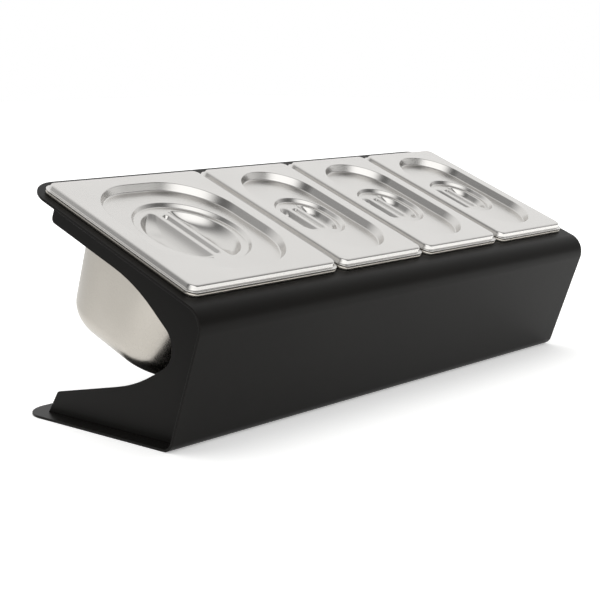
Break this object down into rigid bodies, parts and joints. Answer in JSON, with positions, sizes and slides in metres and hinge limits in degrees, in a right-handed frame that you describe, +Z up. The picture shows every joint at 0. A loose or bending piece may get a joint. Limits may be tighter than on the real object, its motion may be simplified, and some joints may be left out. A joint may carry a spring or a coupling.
{
  "type": "countertop ingredient holder",
  "caption": "Sloping countertop stand of bent painted sheet that holds a row of lift-out steel food pans, each closed by a loose pressed lid with a sunk finger grip.",
  "frame": {"origin": "middle of the base plate's flat underside: halfway along the row, and halfway between the front line of the base and its back edge", "axes": "+X along the row of pans to the right as seen from the front, +Y to the back, +Z up; the front faces -Y"},
  "size_m": [0.508, 0.2082, 0.1845],
  "materials": {
    "black_paint": "fine satin black powder coat on bent steel sheet",
    "pan_steel": "drawn stainless steel with a soft satin sheen",
    "lid_steel": "pressed stainless steel, satin on the flats and brighter on the bends"
  },
  "bodies": {
    "stand": {"body_shell": "black_paint", "left_gusset": "black_paint", "right_gusset": "black_paint"},
    "wide_pan": {"wide_pan": "pan_steel"},
    "narrow_pan_1": {"narrow_pan_1": "pan_steel"},
    "narrow_pan_2": {"narrow_pan_2": "pan_steel"},
    "narrow_pan_3": {"narrow_pan_3": "pan_steel"},
    "wide_lid": {"wide_lid": "lid_steel"},
    "narrow_lid_1": {"narrow_lid_1": "lid_steel"},
    "narrow_lid_2": {"narrow_lid_2": "lid_steel"},
    "narrow_lid_3": {"narrow_lid_3": "lid_steel"}
  },
  "joints": [
    {"name": "wide_pan_lift", "type": "slide", "parent": "stand", "child": "wide_pan", "axis": [0, -0.3746, 0.9272], "range_m": [0, 0.105]},
    {"name": "wide_lid_lift", "type": "slide", "parent": "wide_pan", "child": "wide_lid", "axis": [0, -0.3746, 0.9272], "range_m": [0, 0.06]},
    {"name": "narrow_pan_1_lift", "type": "slide", "parent": "stand", "child": "narrow_pan_1", "axis": [0, -0.3746, 0.9272], "range_m": [0, 0.105]},
    {"name": "narrow_lid_1_lift", "type": "slide", "parent": "narrow_pan_1", "child": "narrow_lid_1", "axis": [0, -0.3746, 0.9272], "range_m": [0, 0.06]},
    {"name": "narrow_pan_2_lift", "type": "slide", "parent": "stand", "child": "narrow_pan_2", "axis": [0, -0.3746, 0.9272], "range_m": [0, 0.105]},
    {"name": "narrow_lid_2_lift", "type": "slide", "parent": "narrow_pan_2", "child": "narrow_lid_2", "axis": [0, -0.3746, 0.9272], "range_m": [0, 0.06]},
    {"name": "narrow_pan_3_lift", "type": "slide", "parent": "stand", "child": "narrow_pan_3", "axis": [0, -0.3746, 0.9272], "range_m": [0, 0.105]},
    {"name": "narrow_lid_3_lift", "type": "slide", "parent": "narrow_pan_3", "child": "narrow_lid_3", "axis": [0, -0.3746, 0.9272], "range_m": [0, 0.06]}
  ]
}
